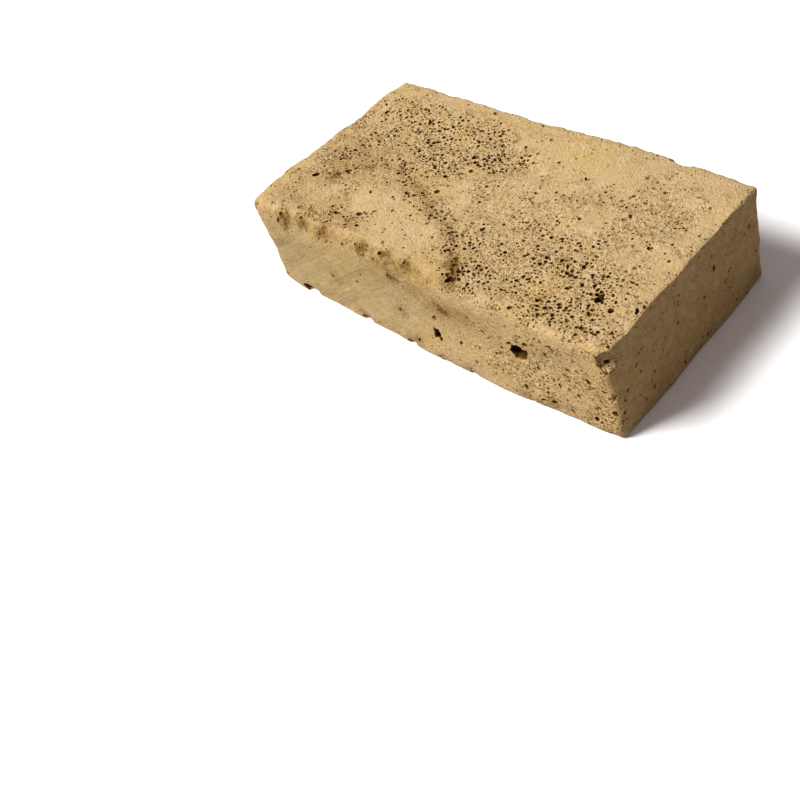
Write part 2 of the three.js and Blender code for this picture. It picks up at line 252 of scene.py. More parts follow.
# %% [markdown]
# ## The rough skin
# A worn pumice face is never smooth. It has shallow lumps where groups of bubbles wore away together, a
# gritty surface, and edges from which crumbs have broken. A displacement modifier could do this, but it
# would also lift the sawn base off the floor. So the roughness is added in code, along the outward
# direction, and fades to nothing on the base.

# %% Lumps, streaks and crumbled edges
LUMPS = [{"size": 10, "height": 0.12}, {"size": 4.5, "height": 0.14}, {"size": 1.9, "height": 0.18}]
CRUMB = {"size": 2.4, "seed": 5, "height": 0.5, "reach": 1.3}
# The saw left slanting streaks on the left half of the front. Soft noise bends them and breaks them up.
STREAK = {"apart": 6, "slope": -0.75, "height": 0.16, "share at middle": 0.7, "fade": 25}
STREAK_BEND = {"size": 9, "seed": 4, "amount": 2}
STREAK_BREAKS = {"size": 7, "seed": 8, "amount": 1.5}
# The roughness fades where the skin looks down, and over the lowest part of the sides.
DOWNWARD_FADE = 1.2
FOOT_FADE = 1.5
FOOT_SHARE = 0.3
# A seed moves the noise by this much in x, y and z.
SEED_STEPS = (17.3, 5.1, 9.7)


def bumps(p, size, seed):
    """Soft noise from -1 to 1 at each point, with lumps of about that size."""
    shift = Vector([seed * step for step in SEED_STEPS])
    return np.array([noise.noise(Vector(q) / size + shift) for q in p])


def near_edge(p, reach):
    """1 on an edge of the box, falling to 0 away from it."""
    from_faces = np.sort(np.abs(HALF - np.abs(p - MIDDLE)), axis=1)
    return np.exp(-((from_faces[:, 1] / reach) ** 2))


def streaks(p, outward):
    """How far the slanting streaks stand out."""
    x, _, z = p.T
    share = smooth(STREAK["share at middle"] - x / STREAK["fade"]) * np.clip(-outward[:, 1], 0, 1)
    breaks = STREAK_BREAKS["amount"] * bumps(p, STREAK_BREAKS["size"], STREAK_BREAKS["seed"])
    share *= np.clip(0.5 + breaks, 0, 1)
    bend = STREAK_BEND["amount"] * bumps(p, STREAK_BEND["size"], STREAK_BEND["seed"])
    slanting = (z + STREAK["slope"] * x) / STREAK["apart"]
    return STREAK["height"] * share * np.sin(2 * np.pi * slanting + bend)


def roughness(p, outward):
    """How far the rough skin stands out of the worn surface."""
    height = sum(lump["height"] * bumps(p, lump["size"], seed) for seed, lump in enumerate(LUMPS, 1))
    crumbled = np.clip(bumps(p, CRUMB["size"], CRUMB["seed"]), 0, 1)
    height -= CRUMB["height"] * near_edge(p, CRUMB["reach"]) * crumbled
    height += streaks(p, outward)
    off_base = smooth(1 + outward[:, 2] * DOWNWARD_FADE) * smooth(p[:, 2] / FOOT_FADE + FOOT_SHARE)
    return height * off_base


print("the highest lumps together, in mm:", round(sum(lump["height"] for lump in LUMPS), 2))

# %% [markdown]
# ## The net
# The surface starts as a net of squares over the true box, drawn tighter by the edges where the rounding
# is. Each crossing is made once and shared by the faces that meet there, so the skin is closed from the
# start, which the cutting of bubbles needs.

# %% Net over the box
# The net's first lines stand this far from each edge, and the others about one step apart.
NET_FROM_EDGE = [0, 0.5, 1.1, 2, 3.1]
NET_STEP = 1.4


def net_steps(size):
    near = [d - size / 2 for d in NET_FROM_EDGE]
    inside = size - 2 * NET_FROM_EDGE[-1]
    count = round(inside / NET_STEP)
    even = [near[-1] + inside * i / count for i in range(1, count)]
    return [*near, *even, *(-d for d in reversed(near))]


def box_net():
    """The points of a net over the true box, and its squares, facing outwards."""
    steps = [net_steps(LENGTH), net_steps(DEPTH), [z + HEIGHT / 2 for z in net_steps(HEIGHT)]]
    last = [len(s) - 1 for s in steps]
    place, squares = {}, []

    def corner(cell):
        return place.setdefault(cell, len(place))

    for axis in range(3):
        u, v = (axis + 1) % 3, (axis + 2) % 3
        for side in (0, last[axis]):
            for i in range(last[u]):
                for j in range(last[v]):
                    ring = []
                    for a, b in ((i, j), (i + 1, j), (i + 1, j + 1), (i, j + 1)):
                        cell = [0, 0, 0]
                        cell[axis], cell[u], cell[v] = side, a, b
                        ring.append(corner(tuple(cell)))
                    squares.append(ring if side else ring[::-1])
    points = np.array([[steps[a][c[a]] for a in range(3)] for c in place])
    return points, squares


print("net lines along the length, depth and height:", [len(net_steps(s)) for s in (LENGTH, DEPTH, HEIGHT)])


# %% The sawn and worn block
def add_mesh(name, points_mm, faces):
    mesh = bpy.data.meshes.new(name)
    mesh.from_pydata([Vector(p) * MM for p in points_mm], [], faces)
    made = bpy.data.objects.new(name, mesh)
    bpy.context.scene.collection.objects.link(made)
    return made


def store(made, name, values):
    kept = made.data.attributes.get(name) or made.data.attributes.new(name, "FLOAT", "POINT")
    kept.data.foreach_set("value", values.astype(np.float32))


net_points, net_squares = box_net()
surface, outward = worn(net_points)
surface += outward * roughness(net_points, outward)[:, None]
surface[:, 2] = np.maximum(surface[:, 2], 0)
block = add_mesh("block", surface, net_squares)
print("block:", len(block.data.vertices), "points,", len(block.data.polygons), "squares")
print("its box in mm:", (surface.max(0) - surface.min(0)).round(1).tolist())

# %% [markdown]
# ## Trees of nodes
# The stone's finish and the maker of its bubbles are both trees of nodes. Built by hand they would be lost
# with the file, so they are written out. Four helpers keep that short: one adds a node and feeds its inputs,
# one works out a number, one starts a group with named inputs and outputs, and one puts a group to use.


# %% Helpers for trees of nodes
def add_node(tree, kind, inputs=None, **settings):
    """Adds a node. inputs maps a socket's name or place to a value, or to a socket that feeds it."""
    made = tree.nodes.new(kind)
    for key, value in settings.items():
        setattr(made, key, value)
    for key, value in (inputs or {}).items():
        if isinstance(value, bpy.types.NodeSocket):
            tree.links.new(value, made.inputs[key])
        else:
            made.inputs[key].default_value = value
    return made


def worked_out(tree, operation, *values):
    """One number made from two or three others."""
    return add_node(tree, "ShaderNodeMath", dict(enumerate(values)), operation=operation).outputs[0]


def new_group(name, kind, inputs, outputs):
    """A node group with its named sockets, and its two end nodes."""
    tree = bpy.data.node_groups.new(name, kind)
    for in_out, sockets in (("INPUT", inputs), ("OUTPUT", outputs)):
        for socket_name, holds in sockets.items():
            tree.interface.new_socket(name=socket_name, in_out=in_out, socket_type="NodeSocket" + holds)
    return tree, tree.nodes.new("NodeGroupInput").outputs, tree.nodes.new("NodeGroupOutput")


def from_group(tree, made, inputs):
    """What a shader group gives for these inputs."""
    return add_node(tree, "ShaderNodeGroup", inputs, node_tree=made).outputs[0]

# %% [markdown]
# ## The stone's finish
# Dry pumice is matt and sandy. Its colour drifts from golden to a pale, dusty buff, and its crowded patches
# are a little pinker. Specks of painted shade lie in the low spots of its gritty bump, and specks of
# painted light on the high ones. Brown grime stains it in places and gathers in blots, and the same stain
# and blots paint shade along the step at the crust's rim and in the chip at the near top corner. The
# insides of its pits are painted deep brown with grime and shade, and their bottoms nearly black with
# painted shade. Bubbles too small to cut are painted and pressed in by the material, with painted shade
# inside them. Each effect is a node group with named inputs, so that its sizes and strengths can be read
# and changed in one place. All sizes are in millimetres. A range is written as the value where it starts,
# the value where it ends, and what it gives at each of them.

# %% Group: drifting tone
# Each noise has a number of layers, and a strength for its finer layers.
DRIFT_LAYERS = (2.0, 0.5)
DUST_LAYERS = (4.0, 0.62)
STAIN_LAYERS = (4.0, 0.7)
GOLD_RANGE = (0.42, 0.68, 0.0, 1.0)
DUST_RANGE = (0.45, 0.75, 0.0, 0.8)
STAIN_RANGE = (0.4, 0.65, 0.35, 1.0)
# How the grit's height turns into painted shade where it is low and painted light where it is high.
GRIT_SHADE_SPREAD = (0.38, 0.6, 0.0, 1.0)


def noise_at(tree, place, size, detail, rough):
    """Noise from 0 to 1 whose lumps are about that many millimetres. The size may come from a socket."""
    return add_node(tree, "ShaderNodeTexNoise", {
        "Vector": place, "Scale": worked_out(tree, "DIVIDE", 1.0, size), "Detail": detail, "Roughness": rough,
    }).outputs["Fac"]


def ranged(tree, value, low, high, to_low, to_high):
    """The value spread from one range to another, with soft ends."""
    return add_node(tree, "ShaderNodeMapRange", {
        "Value": value, "From Min": low, "From Max": high, "To Min": to_low, "To Max": to_high,
    }, interpolation_type="SMOOTHSTEP").outputs["Result"]


def mixed(tree, share, first, second, blend="MIX"):
    """The first colour with a share of the second, or of their product, in its place."""
    return add_node(tree, "ShaderNodeMix", {
        0: share, 6: first, 7: second,
    }, data_type="RGBA", blend_type=blend).outputs[2]


def tone_group():
    """Sand that drifts to gold, with dust and stains in patches, and specks over it all: painted shade where
    the grit is low and painted light where it is high.
    """
    tree, given, end = new_group("drifting_tone", "ShaderNodeTree", {
        "Place": "Vector", "Sand": "Color", "Gold": "Color", "Drift size": "Float",
        "Dust": "Color", "Dust size": "Float",
        "Stain": "Color", "Stain size": "Float", "Stained": "Float",
        "Dark grain": "Color", "Pale grain": "Color", "Grit": "Float", "Grain": "Float",
    }, {"Color": "Color"})
    place = given["Place"]
    gold_share = ranged(tree, noise_at(tree, place, given["Drift size"], *DRIFT_LAYERS), *GOLD_RANGE)
    colour = mixed(tree, gold_share, given["Sand"], given["Gold"])
    dust_share = ranged(tree, noise_at(tree, place, given["Dust size"], *DUST_LAYERS), *DUST_RANGE)
    colour = mixed(tree, dust_share, colour, given["Dust"])
    stain_share = ranged(tree, noise_at(tree, place, given["Stain size"], *STAIN_LAYERS), *STAIN_RANGE)
    stained = worked_out(tree, "MULTIPLY", stain_share, given["Stained"])
    colour = mixed(tree, stained, colour, given["Stain"], "MULTIPLY")
    # Painted shade where the gritty bump is low, and painted light where it is high.
    grit_light_and_shade = mixed(tree, ranged(tree, given["Grit"], *GRIT_SHADE_SPREAD), given["Dark grain"], given["Pale grain"])
    tree.links.new(mixed(tree, given["Grain"], colour, grit_light_and_shade, "MULTIPLY"), end.inputs["Color"])
    return tree


tone = tone_group()
print("tone group:", len(tone.nodes), "nodes")

# %% Group: pinholes too small to cut
UNEVENNESS = 0.9
# The narrowest and the widest hole, in cells of the pattern, and how steep its wall is.
PINHOLE_WIDTHS = (0.2, 0.42)
BOWL_RANGE = (0.55, 1.1, 1.0, 0.0)


def pinhole_group():
    """Round holes of one size, one in each cell of a pattern, of which only a share is open."""
    tree, given, end = new_group("pinholes", "ShaderNodeTree", {
        "Place": "Vector", "Size": "Float", "Share": "Float",
    }, {"Hole": "Float"})
    per_mm = worked_out(tree, "DIVIDE", 1.0, given["Size"])
    cells = add_node(tree, "ShaderNodeTexVoronoi", {
        "Vector": given["Place"], "Scale": per_mm, "Randomness": UNEVENNESS,
    })
    chance = add_node(tree, "ShaderNodeSeparateColor", {0: cells.outputs["Color"]})
    is_open = worked_out(tree, "LESS_THAN", chance.outputs[0], given["Share"])
    width = add_node(tree, "ShaderNodeMapRange", {
        "Value": chance.outputs[1], "To Min": PINHOLE_WIDTHS[0], "To Max": PINHOLE_WIDTHS[1],
    }).outputs["Result"]
    across = worked_out(tree, "DIVIDE", cells.outputs["Distance"], width)
    hole = worked_out(tree, "MULTIPLY", ranged(tree, across, *BOWL_RANGE), is_open)
    tree.links.new(hole, end.inputs["Hole"])
    return tree


pinholes = pinhole_group()
print("pinhole group:", len(pinholes.nodes), "nodes")

# %% Group: gritty height
COARSE_LAYERS = (2.0, 0.6)
FINE_LAYERS = (3.0, 0.65)


def grit_group():
    """The mean of a coarse and a fine noise."""
    tree, given, end = new_group("gritty_height", "ShaderNodeTree", {
        "Place": "Vector", "Coarse": "Float", "Fine": "Float",
    }, {"Height": "Float"})
    coarse = noise_at(tree, given["Place"], given["Coarse"], *COARSE_LAYERS)
    fine = noise_at(tree, given["Place"], given["Fine"], *FINE_LAYERS)
    height = worked_out(tree, "MULTIPLY", worked_out(tree, "ADD", coarse, fine), 0.5)
    tree.links.new(height, end.inputs["Height"])
    return tree


grit = grit_group()
print("grit group:", len(grit.nodes), "nodes")


# %% Group: long shallow scratches
def scratch_group():
    """Noise stretched along one direction of the front, which makes long slanting lines."""
    tree, given, end = new_group("scratches", "ShaderNodeTree", {
        "Place": "Vector", "Width": "Float", "Length": "Float", "Turn": "Float", "Depth": "Float",
    }, {"Height": "Float"})
    turned = add_node(tree, "ShaderNodeVectorRotate", {
        "Vector": given["Place"], "Angle": given["Turn"],
    }, rotation_type="Y_AXIS").outputs[0]
    size = add_node(tree, "ShaderNodeCombineXYZ", {
        "X": given["Length"], "Y": given["Width"], "Z": given["Width"],
    }).outputs[0]
    stretched = add_node(tree, "ShaderNodeVectorMath", {0: turned, 1: size}, operation="DIVIDE").outputs[0]
    lines = add_node(tree, "ShaderNodeTexNoise", {"Vector": stretched, "Scale": 1.0, "Detail": 2.0})
    height = worked_out(tree, "MULTIPLY", lines.outputs["Fac"], given["Depth"])
    tree.links.new(height, end.inputs["Height"])
    return tree


scratches = scratch_group()
print("scratch group:", len(scratches.nodes), "nodes")

# %% Colours of the stone
SAND = (0.56, 0.4, 0.19, 1)
GOLD = (0.565, 0.395, 0.165, 1)
DUST = (0.65, 0.485, 0.29, 1)
# Brown blots of grime, which also paint shade into the corner chip.
BLOT = (0.16, 0.09, 0.025, 1)
# Painted shade inside the painted pinholes.
PINHOLE_SHADE = (0.14, 0.065, 0.003, 1)
# Grime and painted shade on the walls of the cut pits.
PIT_GRIME_AND_SHADE = (0.25, 0.112, 0.003, 1)
# Painted shade at the bottoms of deep pits.
PIT_BOTTOM_SHADE = (0.075, 0.03, 0.006, 1)
# These five are multiplied with the colour under them.
ROSE = (1.02, 0.95, 0.96, 1)
# Brown grime, which also paints shade along the crust's rim and into the corner chip.
GRIME_AND_SHADE_TINT = (0.55, 0.48, 0.35, 1)
DULL = (0.6, 0.645, 0.6, 1)
# Painted shade for the low spots of the gritty bump, and painted light for its high spots.
GRIT_HOLLOW_SHADE = (0.58, 0.48, 0.3, 1)
GRIT_TOP_LIGHT = (1.2, 1.2, 1.3, 1)
print("sand to dust:", [round(dust / sand, 2) for sand, dust in zip(SAND[:3], DUST)])

# %% Sizes and ranges of the stone's finish
DRIFT_SIZE = 17.0
DUST_SIZE = 2.6
STAIN_SIZE = 1.6
BLOT_SIZE = 1.1
BLOT_LAYERS = (3.0, 0.6)
BLOT_RANGE = (0.5, 0.85, 0.0, 0.85)
GRIT_SIZES = {"Coarse": 0.8, "Fine": 0.3}
SCRATCH_SIZES = {"Width": 1.6, "Length": 14.0, "Turn": math.radians(37), "Depth": 0.5}
PINHOLE_SIZES = (1.3, 0.9, 0.6)
PINHOLE_SHADE_STRENGTH = 0.85
PINHOLE_DEPTH = 0.35
MATT = 0.95
SHINE = 0.1
# How the painted shade and light of the grit, pinkness, pinholes, bump and the painted shade of pit walls
# grow where the bubbles crowd.
GRIT_SHADE_RANGE = (0.06, 0.4, 0.2, 1.0)
ROSE_RANGE = (0.4, 1.0, 0.0, 1.0)
PINHOLE_RANGE = (0.04, 0.6, 0.03, 0.5)
BUMP_RANGE = (0.05, 0.4, 0.85, 1.1)
PIT_WALL_SHADE_RANGE = (0.1, 0.3, 0.55, 1.0)
GRIT_SHADE_IN_GRIME = 0.8
# How painted shade darkens a pit with its depth.
PIT_SHADE_RANGE = (0.02 * MM, 0.28 * MM, 0.0, 1.0)
PIT_BOTTOM_SHADE_RANGE = (0.25 * MM, 0.8 * MM, 0.0, 1.0)
print("pits are dark from", PIT_SHADE_RANGE[1] / MM, "mm down, and darkest from", PIT_BOTTOM_SHADE_RANGE[1] / MM, "mm")


# %% The stone's material
def noted(tree, name):
    """A number that is stored at the mesh's points."""
    return add_node(tree, "ShaderNodeAttribute", attribute_name=name).outputs["Fac"]


def bare_colour(tree, place, grit_height, crowded, soiled, scratched):
    """The colour of the stone between its holes, with painted shade and light on the grit, and grime with
    painted shade along the crust's rim and in the corner chip.
    """
    # How strong the painted shade and light of the grit are.
    grit_shade = ranged(tree, crowded, *GRIT_SHADE_RANGE)
    grit_shade = worked_out(tree, "MAXIMUM", grit_shade, worked_out(tree, "MULTIPLY", soiled, GRIT_SHADE_IN_GRIME))
    colour = from_group(tree, tone, {
        "Place": place, "Sand": SAND, "Gold": GOLD, "Drift size": DRIFT_SIZE,
        "Dust": DUST, "Dust size": DUST_SIZE, "Stain": GRIME_AND_SHADE_TINT, "Stain size": STAIN_SIZE, "Stained": soiled,
        "Dark grain": GRIT_HOLLOW_SHADE, "Pale grain": GRIT_TOP_LIGHT, "Grit": grit_height, "Grain": grit_shade,
    })
    colour = mixed(tree, ranged(tree, crowded, *ROSE_RANGE), colour, ROSE, "MULTIPLY")
    blotted = worked_out(tree, "MULTIPLY", soiled, noise_at(tree, place, BLOT_SIZE, *BLOT_LAYERS))
    colour = mixed(tree, ranged(tree, blotted, *BLOT_RANGE), colour, BLOT)
    return mixed(tree, scratched, colour, DULL, "MULTIPLY")


def all_pinholes(tree, place, crowded, scratched):
    """Pinholes of every size together. There are none among the scratches."""
    share = ranged(tree, crowded, *PINHOLE_RANGE)
    share = add_node(tree, "ShaderNodeMix", {0: scratched, 2: share, 3: 0.0}).outputs[0]
    hole = 0.0
    for size in PINHOLE_SIZES:
        more = from_group(tree, pinholes, {"Place": place, "Size": size, "Share": share})
        hole = worked_out(tree, "MAXIMUM", hole, more)
    return hole


def with_painted_pit_shade(tree, colour):
    """The colour, turning brown with grime and painted shade down the walls of a pit, and nearly black with
    painted shade at its bottom.
    """
    depth = noted(tree, "pore_depth")
    wall = mixed(tree, ranged(tree, noted(tree, "patch"), *PIT_WALL_SHADE_RANGE), colour, PIT_GRIME_AND_SHADE)
    inside = mixed(tree, ranged(tree, depth, *PIT_BOTTOM_SHADE_RANGE), wall, PIT_BOTTOM_SHADE)
    return mixed(tree, ranged(tree, depth, *PIT_SHADE_RANGE), colour, inside)


def pumice_material():
    material = bpy.data.materials.new("pumice")
    material.use_nodes = True
    tree = material.node_tree
    tree.nodes.clear()
    metres = add_node(tree, "ShaderNodeTexCoord").outputs["Object"]
    place = add_node(tree, "ShaderNodeMapping", {"Vector": metres, "Scale": (1 / MM,) * 3}).outputs[0]
    crowded = noted(tree, "crowding")
    scratched = noted(tree, "scratched")
    grit_height = from_group(tree, grit, {"Place": place, **GRIT_SIZES})
    lines = from_group(tree, scratches, {"Place": place, **SCRATCH_SIZES})
    hole = all_pinholes(tree, place, crowded, scratched)

    colour = bare_colour(tree, place, grit_height, crowded, noted(tree, "soiled"), scratched)
    # Painted shade inside the pinholes.
    colour = mixed(tree, worked_out(tree, "MULTIPLY", hole, PINHOLE_SHADE_STRENGTH), colour, PINHOLE_SHADE)
    # Grime and painted shade down the walls of the cut pits, and painted shade at their bottoms.
    colour = with_painted_pit_shade(tree, colour)

    surface_height = add_node(tree, "ShaderNodeMix", {0: scratched, 2: grit_height, 3: lines}).outputs[0]
    height = worked_out(tree, "MULTIPLY_ADD", hole, -PINHOLE_DEPTH, surface_height)
    height = worked_out(tree, "MULTIPLY", height, ranged(tree, crowded, *BUMP_RANGE))
    bump = add_node(tree, "ShaderNodeBump", {"Strength": 1.0, "Distance": MM, "Height": height}).outputs[0]
    shader = add_node(tree, "ShaderNodeBsdfPrincipled", {
        "Base Color": colour, "Roughness": MATT, "Specular IOR Level": SHINE, "Normal": bump,
    }, distribution="MULTI_GGX")
    add_node(tree, "ShaderNodeOutputMaterial", {"Surface": shader.outputs[0]})
    return material


stone_finish = pumice_material()
print("stone's material:", len(stone_finish.node_tree.nodes), "nodes")

# %% [markdown]
# ## The bubble maker
# Thousands of bubbles repeat one idea, so Geometry Nodes make them. The tree scatters points over the uncut
# stone, thickly where the crowding says so and never closer than a given gap. It puts a small faceted ball
# on each, squashes and turns it, shakes its corners so that no two are alike, and cuts them all out of the
# stone at once. It then notes how deep under the old surface every point lies, which later gives the pits
# their painted shade and grime. One tree serves every size of bubble, and the crumbs lost from the edges
# too, because its sizes are inputs.

# %% The tree that opens bubbles
# The higher this power is, the more of the bubbles are small.
MOSTLY_SMALL = 2.0
WIDER_WHERE_CROWDED = (0.75, 1.1)
# The scale of a ball in its own three directions.
LEAST_SQUASH = (0.75, 0.75, 0.9)
MOST_SQUASH = (1.35, 1.1, 1.5)
SHAKES_PER_METRE = 1700.0


def bubble_maker():
    tree, given, end = new_group("open_bubbles", "GeometryNodeTree", {
        "Stone": "Geometry", "Old surface": "Object", "Crowding": "String", "Gap": "Float",
        "Most per square metre": "Float", "Smallest radius": "Float", "Largest radius": "Float",
        "Lowest middle": "Float", "Highest middle": "Float", "Sides": "Int", "Rings": "Int",
        "Shake": "Float", "Seed": "Int", "Finish": "Material",
    }, {"Stone": "Geometry"})

    def seed_after(extra):
        return worked_out(tree, "ADD", given["Seed"], extra)

    def random_number(low, high, extra):
        inputs = {2: low, 3: high, "Seed": seed_after(extra)}
        return add_node(tree, "FunctionNodeRandomValue", inputs).outputs[1]

    def spread(value, low, high):
        inputs = {"Value": value, "To Min": low, "To Max": high}
        return add_node(tree, "ShaderNodeMapRange", inputs).outputs["Result"]

    def scaled(vector, by):
        return add_node(tree, "ShaderNodeVectorMath", {0: vector, "Scale": by}, operation="SCALE").outputs[0]

    def stored(name):
        return add_node(tree, "GeometryNodeInputNamedAttribute", {"Name": name}).outputs["Attribute"]

    skin = add_node(tree, "GeometryNodeObjectInfo", {"Object": given["Old surface"]}).outputs["Geometry"]
    crowded = stored(given["Crowding"])
    points = add_node(tree, "GeometryNodeDistributePointsOnFaces", {
        "Mesh": skin, "Distance Min": given["Gap"], "Density Max": given["Most per square metre"],
        "Density Factor": crowded, "Seed": given["Seed"],
    }, distribute_method="POISSON").outputs

    mostly_small = worked_out(tree, "POWER", random_number(0.0, 1.0, 1), MOSTLY_SMALL)
    picked_radius = spread(mostly_small, given["Smallest radius"], given["Largest radius"])
    radius = worked_out(tree, "MULTIPLY", picked_radius, spread(crowded, *WIDER_WHERE_CROWDED))
    sized = add_node(tree, "GeometryNodeStoreNamedAttribute", {
        "Geometry": points["Points"], "Name": "radius", "Value": radius,
    }, domain="POINT").outputs["Geometry"]
    own_radius = stored("radius")

    height = random_number(given["Lowest middle"], given["Highest middle"], 2)
    moved = scaled(points["Normal"], worked_out(tree, "MULTIPLY", own_radius, height))
    sunk = add_node(tree, "GeometryNodeSetPosition", {"Geometry": sized, "Offset": moved})

    ball_shape = add_node(tree, "GeometryNodeMeshUVSphere", {
        "Segments": given["Sides"], "Rings": given["Rings"], "Radius": 1.0,
    })
    spin = add_node(tree, "ShaderNodeCombineXYZ", {"Z": random_number(0.0, math.tau, 3)})
    spun = add_node(tree, "FunctionNodeRotateRotation", {
        "Rotation": points["Rotation"], "Rotate By": spin.outputs[0],
    }, rotation_space="LOCAL")
    squash = add_node(tree, "FunctionNodeRandomValue", {
        0: LEAST_SQUASH, 1: MOST_SQUASH, "Seed": seed_after(4),
    }, data_type="FLOAT_VECTOR").outputs[0]
    balls = add_node(tree, "GeometryNodeInstanceOnPoints", {
        "Points": sunk.outputs[0], "Instance": ball_shape.outputs["Mesh"],
        "Rotation": spun.outputs[0], "Scale": scaled(squash, own_radius),
    })
    real_balls = add_node(tree, "GeometryNodeRealizeInstances", {"Geometry": balls.outputs[0]})

    pattern = add_node(tree, "ShaderNodeTexNoise", {"Scale": SHAKES_PER_METRE, "Detail": 1.0})
    centred = add_node(tree, "ShaderNodeVectorMath", {
        0: pattern.outputs["Color"], 1: (0.5, 0.5, 0.5),
    }, operation="SUBTRACT").outputs[0]
    nudge = scaled(centred, worked_out(tree, "MULTIPLY", own_radius, given["Shake"]))
    shaken = add_node(tree, "GeometryNodeSetPosition", {"Geometry": real_balls.outputs[0], "Offset": nudge})

    cut = add_node(tree, "GeometryNodeMeshBoolean", {
        "Mesh 1": given["Stone"], "Mesh 2": shaken.outputs[0],
    }, operation="DIFFERENCE", solver="MANIFOLD")
    nearest = add_node(tree, "GeometryNodeProximity", {"Geometry": skin}, target_element="FACES")
    deep = add_node(tree, "GeometryNodeStoreNamedAttribute", {
        "Geometry": cut.outputs["Mesh"], "Name": "pore_depth", "Value": nearest.outputs["Distance"],
    }, domain="POINT")
    real = add_node(tree, "GeometryNodeRealizeInstances", {"Geometry": deep.outputs[0]})
    finished = add_node(tree, "GeometryNodeSetMaterial", {
        "Geometry": real.outputs[0], "Material": given["Finish"],
    })
    tree.links.new(finished.outputs[0], end.inputs["Stone"])
    return tree


maker = bubble_maker()
print("bubble maker:", len(maker.nodes), "nodes")

# %% [markdown]
# ## Chips and crumbs
# Knocks have taken chips from the corners, and the saw has left notches along the foot of the front. Each
# chip is given one by one: the place on its face, the radius, how stretched it is, its turn in degrees, and
# its depth over its radius. It becomes a lumpy egg that is cut out of the block. The edges have also lost
# crumbs, too many to place, so the bubble maker bites them out, shallowly, wherever the block is near one
# of its upper edges.

# %% A lumpy egg
SINK = 0.25
EGG_LUMPS = {"size": 0.8, "height": 0.45}
EGG_GRIT = {"size": 0.35, "share": 0.4}
# Eggs of this radius or more get four times the faces.
FINE_EGG_FROM = 1
# The surface's directions are measured between points this far to each side.
PROBE = 0.2
FACE_POINT = {
    "top": lambda u, v: (u, v, HEIGHT),
    "front": lambda u, v: (u, -DEPTH / 2, v),
    "back": lambda u, v: (u, DEPTH / 2, v),
    "left": lambda u, v: (-LENGTH / 2, u, v),
    "right": lambda u, v: (LENGTH / 2, u, v),
}


def ball(detail):
    """Points and faces of a round ball of triangles."""
    shape = bmesh.new()
    bmesh.ops.create_icosphere(shape, subdivisions=detail, radius=1)
    points = np.array([v.co for v in shape.verts])
    faces = [[v.index for v in f.verts] for f in shape.faces]
    shape.free()
    return points, faces


def surface_frame(face, u, v):
    """The stone's surface at a face's place, and its three directions there, the last one outwards."""
    nearby = ((0, 0), (1, 0), (-1, 0), (0, 1), (0, -1))
    around = [FACE_POINT[face](u + along * PROBE, v + across * PROBE) for along, across in nearby]
    points, out = worn(np.array(around, float))
    along = Vector(points[1] - points[2]).normalized()
    across = Vector(points[3] - points[4]).normalized()
    normal = along.cross(across).normalized()
    if normal.dot(Vector(out[0])) < 0:
        normal.negate()
    return Vector(points[0]), Matrix((along, normal.cross(along), normal)).transposed()


def egg(face, at, radius, stretch, turn, depth, seed):
    """The points and faces of one lumpy egg, with its middle just under the surface."""
    points, faces = ball(3 if radius >= FINE_EGG_FROM else 2)
    lumps = bumps(points, EGG_LUMPS["size"], seed)
    lumps = lumps + EGG_GRIT["share"] * bumps(points, EGG_GRIT["size"], seed + 0.5)
    points = points * (1 + EGG_LUMPS["height"] * lumps[:, None])
    points = points * radius * np.array([math.sqrt(stretch), 1 / math.sqrt(stretch), depth])
    place, directions = surface_frame(face, *at)
    directions = directions @ Matrix.Rotation(math.radians(turn), 3, "Z")
    middle = np.array(place - directions.col[2] * SINK * radius * depth)
    return points @ np.array(directions).T + middle, faces


def eggs(name, placed):
    """Eggs on several faces as one mesh."""
    points, faces, count = [], [], 0
    for face, some in placed.items():
        for one in some:
            more_points, more_faces = egg(face, *one, seed=len(points) + 1)
            points.append(more_points)
            faces += [[i + count for i in f] for f in more_faces]
            count += len(more_points)
    print(name + ":", len(points))
    return add_mesh(name, np.concatenate(points), faces)


# %% Taking the result of a cut
def applied(made, name):
    """A plain mesh object with what the modifiers made. It takes the place of the first object."""
    now = made.evaluated_get(bpy.context.evaluated_depsgraph_get())
    result = bpy.data.objects.new(name, bpy.data.meshes.new_from_object(now))
    bpy.context.scene.collection.objects.link(result)
    bpy.data.objects.remove(made)
    return result


def cut_out(made, cutter, name):
    """made with the cutter's eggs cut out of it. The cutter is used up."""
    cut = made.modifiers.new(name, "BOOLEAN")
    cut.operation, cut.solver, cut.object = "DIFFERENCE", "MANIFOLD", cutter
    result = applied(made, name)
    bpy.data.objects.remove(cutter)
    return result


def open_bubbles(made, old_surface, sizes, name):
    """made with bubbles of these sizes cut out of it by the bubble maker."""
    opening = made.modifiers.new(name, "NODES")
    opening.node_group = maker
    sockets = {s.name: s.identifier for s in maker.interface.items_tree if s.in_out == "INPUT"}
    for key, value in {**sizes, "Old surface": old_surface, "Finish": stone_finish}.items():
        opening[sockets[key]] = value
    result = applied(made, name)
    result.data.calc_loop_triangles()
    print(name + ":", len(result.data.loop_triangles), "triangles now")
    return result


def copy_of(made, name):
    copied = bpy.data.objects.new(name, made.data.copy())
    bpy.context.scene.collection.objects.link(copied)
    return copied

# %% Crumbs and chips
SHAKE = 0.9


def bubbles(crowding, gap, most, radii, middles, sides, rings, seed):
    """Inputs for the bubble maker. Lengths are in millimetres. A middle is so many radii out of the skin."""
    return {
        "Crowding": crowding, "Gap": gap * MM, "Most per square metre": most,
        "Smallest radius": radii[0] * MM, "Largest radius": radii[1] * MM,
        "Lowest middle": middles[0], "Highest middle": middles[1],
        "Sides": sides, "Rings": rings, "Shake": SHAKE, "Seed": seed,
    }


CRUMBS = bubbles("edge", gap=1.1, most=2e6, radii=(0.35, 0.7), middles=(0.3, 0.7), sides=6, rings=3, seed=5)
EDGE_REACH = 0.8
